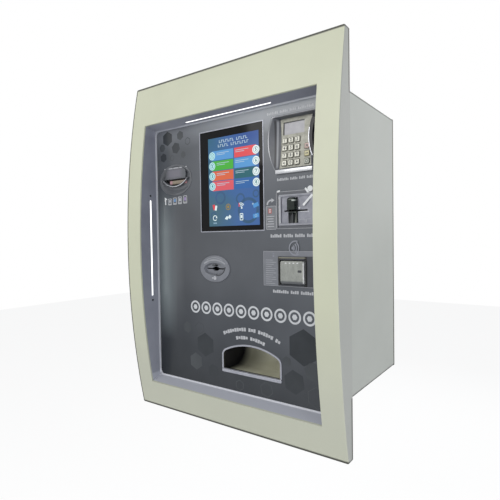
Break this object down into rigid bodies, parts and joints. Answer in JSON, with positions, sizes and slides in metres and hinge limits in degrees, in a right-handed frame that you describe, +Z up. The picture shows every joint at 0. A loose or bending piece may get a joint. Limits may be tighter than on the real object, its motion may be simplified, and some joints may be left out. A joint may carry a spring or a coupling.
{
  "type": "token and ticket vending machine",
  "caption": "Wall-recessed vending machine: bowed ivory frame, lit niche with touch display, note, key, card and contactless readers, PIN pad, tray, hopper, printer, rear door.",
  "frame": {"origin": "centre of the wall plane, where the cabinet's flange rests on the wall", "axes": "+Z up, the front looks along -Y, +X to the right of someone facing it"},
  "size_m": [0.6, 0.4919, 0.85],
  "materials": {
    "ivory_moulding": "satin ivory moulding",
    "grey_moulding": "satin grey moulding",
    "light_bar": "opal diffuser, lit",
    "printed_fascia": "printed graphite overlay",
    "bright_trim": "satin anodised",
    "display_glass": "glossy cover over a lit screen",
    "dark_plastic": "fine texture",
    "reader_grey": "satin",
    "bezel_grey": "satin",
    "pad_metal": "bead blasted",
    "key_metal": "satin",
    "key_red": "gloss",
    "key_yellow": "gloss",
    "key_green": "gloss",
    "pad_screen": "reflective window",
    "green_throat": "smoked green",
    "card_metal": "satin",
    "tap_metal": "metallic paint",
    "tray_rim_metal": "polished",
    "tray_steel": "brushed",
    "cabinet_paint": "textured powder coat",
    "zinc_steel": "zinc plated",
    "circuit_board": "solder mask",
    "rubber": "matte",
    "paper": "matte paper"
  },
  "bodies": {
    "cabinet": {"front_frame": "ivory_moulding", "frame_screws": "zinc_steel", "reveal_liner": "grey_moulding", "led_bars": "light_bar", "fascia_panel": "printed_fascia", "display_rim": "bright_trim", "display_glass": "display_glass", "display_module": "zinc_steel", "note_bezel": "bezel_grey", "note_validator": "dark_plastic", "key_reader_plate": "reader_grey", "key_reader_body": "dark_plastic", "pinpad_pocket": "grey_moulding", "pinpad_body": "pad_metal", "pinpad_display": "pad_screen", "card_bezel": "card_metal", "card_throat": "green_throat", "card_reader": "zinc_steel", "contactless_plate": "reader_grey", "contactless_housing": "dark_plastic", "contactless_face": "tap_metal", "tray_rim": "tray_rim_metal", "dispensing_tray": "tray_steel", "equipment_shelf": "zinc_steel", "hopper_base": "dark_plastic", "hopper_bowl": "reader_grey", "token_chute": "tray_steel", "printer_chassis": "dark_plastic", "ticket_chute": "tray_steel", "power_supply": "zinc_steel", "controller_board": "circuit_board", "cable_gland": "dark_plastic", "cabinet_shell": "cabinet_paint", "wall_flange_ring": "zinc_steel", "inner_ledges": "zinc_steel", "hinge_leaves": "zinc_steel", "hinge_pins": "zinc_steel"},
    "rear_door": {"rear_door": "cabinet_paint", "door_lock": "zinc_steel"},
    "lock_cam": {"lock_cam": "zinc_steel"},
    "note_cassette": {"note_cassette": "dark_plastic"},
    "hopper_disc": {"hopper_disc": "reader_grey"},
    "platen_roller": {"platen_roller": "rubber"},
    "paper_roll": {"paper_roll": "paper"},
    "printer_cover": {"printer_cover": "dark_plastic"},
    "pad_key_0": {"pad_key_0": "key_metal"},
    "pad_key_1": {"pad_key_1": "key_metal"},
    "pad_key_2": {"pad_key_2": "key_metal"},
    "pad_key_3": {"pad_key_3": "key_metal"},
    "pad_key_4": {"pad_key_4": "key_metal"},
    "pad_key_5": {"pad_key_5": "key_metal"},
    "pad_key_6": {"pad_key_6": "key_metal"},
    "pad_key_7": {"pad_key_7": "key_metal"},
    "pad_key_8": {"pad_key_8": "key_metal"},
    "pad_key_9": {"pad_key_9": "key_metal"},
    "pad_key_left": {"pad_key_left": "key_metal"},
    "pad_key_right": {"pad_key_right": "key_metal"},
    "pad_key_clear": {"pad_key_clear": "key_yellow"},
    "pad_key_cancel": {"pad_key_cancel": "key_red"},
    "pad_key_enter": {"pad_key_enter": "key_green"}
  },
  "joints": [
    {"name": "rear_door_hinge", "type": "hinge", "parent": "cabinet", "child": "rear_door", "pos_m": [-0.2515, 0.425, 0], "axis": [0, 0, 1], "range_deg": [0, 110]},
    {"name": "lock_cam_turn", "type": "hinge", "parent": "rear_door", "child": "lock_cam", "pos_m": [0.2155, 0.4185, 0], "axis": [0, 1, 0], "range_deg": [-90, 0]},
    {"name": "note_cassette_slide", "type": "slide", "parent": "cabinet", "child": "note_cassette", "axis": [0, 1, 0], "range_m": [0, 0.095]},
    {"name": "hopper_disc_turn", "type": "hinge", "parent": "cabinet", "child": "hopper_disc", "pos_m": [-0.02, 0.232, -0.1], "axis": [0, 0, 1], "continuous": true},
    {"name": "paper_roll_turn", "type": "hinge", "parent": "cabinet", "child": "paper_roll", "pos_m": [0.105, 0.284, -0.098], "axis": [1, 0, 0], "continuous": true},
    {"name": "platen_turn", "type": "hinge", "parent": "cabinet", "child": "platen_roller", "pos_m": [0.105, 0.178, -0.118], "axis": [1, 0, 0], "continuous": true},
    {"name": "printer_cover_hinge", "type": "hinge", "parent": "cabinet", "child": "printer_cover", "pos_m": [0.105, 0.227, -0.103], "axis": [1, 0, 0], "range_deg": [-75, 0]},
    {"name": "pad_key_0_press", "type": "slide", "parent": "cabinet", "child": "pad_key_0", "axis": [0, 0.9972, -0.075], "range_m": [0, 0.0012], "stiffness_N_per_m": 900, "springref_m": -0.0004},
    {"name": "pad_key_1_press", "type": "slide", "parent": "cabinet", "child": "pad_key_1", "axis": [0, 0.9972, -0.075], "range_m": [0, 0.0012], "stiffness_N_per_m": 900, "springref_m": -0.0004},
    {"name": "pad_key_2_press", "type": "slide", "parent": "cabinet", "child": "pad_key_2", "axis": [0, 0.9972, -0.075], "range_m": [0, 0.0012], "stiffness_N_per_m": 900, "springref_m": -0.0004},
    {"name": "pad_key_3_press", "type": "slide", "parent": "cabinet", "child": "pad_key_3", "axis": [0, 0.9972, -0.075], "range_m": [0, 0.0012], "stiffness_N_per_m": 900, "springref_m": -0.0004},
    {"name": "pad_key_4_press", "type": "slide", "parent": "cabinet", "child": "pad_key_4", "axis": [0, 0.9972, -0.075], "range_m": [0, 0.0012], "stiffness_N_per_m": 900, "springref_m": -0.0004},
    {"name": "pad_key_5_press", "type": "slide", "parent": "cabinet", "child": "pad_key_5", "axis": [0, 0.9972, -0.075], "range_m": [0, 0.0012], "stiffness_N_per_m": 900, "springref_m": -0.0004},
    {"name": "pad_key_6_press", "type": "slide", "parent": "cabinet", "child": "pad_key_6", "axis": [0, 0.9972, -0.075], "range_m": [0, 0.0012], "stiffness_N_per_m": 900, "springref_m": -0.0004},
    {"name": "pad_key_7_press", "type": "slide", "parent": "cabinet", "child": "pad_key_7", "axis": [0, 0.9972, -0.075], "range_m": [0, 0.0012], "stiffness_N_per_m": 900, "springref_m": -0.0004},
    {"name": "pad_key_8_press", "type": "slide", "parent": "cabinet", "child": "pad_key_8", "axis": [0, 0.9972, -0.075], "range_m": [0, 0.0012], "stiffness_N_per_m": 900, "springref_m": -0.0004},
    {"name": "pad_key_9_press", "type": "slide", "parent": "cabinet", "child": "pad_key_9", "axis": [0, 0.9972, -0.075], "range_m": [0, 0.0012], "stiffness_N_per_m": 900, "springref_m": -0.0004},
    {"name": "pad_key_left_press", "type": "slide", "parent": "cabinet", "child": "pad_key_left", "axis": [0, 0.9972, -0.075], "range_m": [0, 0.0012], "stiffness_N_per_m": 900, "springref_m": -0.0004},
    {"name": "pad_key_right_press", "type": "slide", "parent": "cabinet", "child": "pad_key_right", "axis": [0, 0.9972, -0.075], "range_m": [0, 0.0012], "stiffness_N_per_m": 900, "springref_m": -0.0004},
    {"name": "pad_key_clear_press", "type": "slide", "parent": "cabinet", "child": "pad_key_clear", "axis": [0, 0.9972, -0.075], "range_m": [0, 0.0012], "stiffness_N_per_m": 900, "springref_m": -0.0004},
    {"name": "pad_key_cancel_press", "type": "slide", "parent": "cabinet", "child": "pad_key_cancel", "axis": [0, 0.9972, -0.075], "range_m": [0, 0.0012], "stiffness_N_per_m": 900, "springref_m": -0.0004},
    {"name": "pad_key_enter_press", "type": "slide", "parent": "cabinet", "child": "pad_key_enter", "axis": [0, 0.9972, -0.075], "range_m": [0, 0.0012], "stiffness_N_per_m": 900, "springref_m": -0.0004}
  ],
  "couplings": [
    {"joint": "platen_turn", "follows": "paper_roll_turn", "ratio": -6.3333}
  ]
}
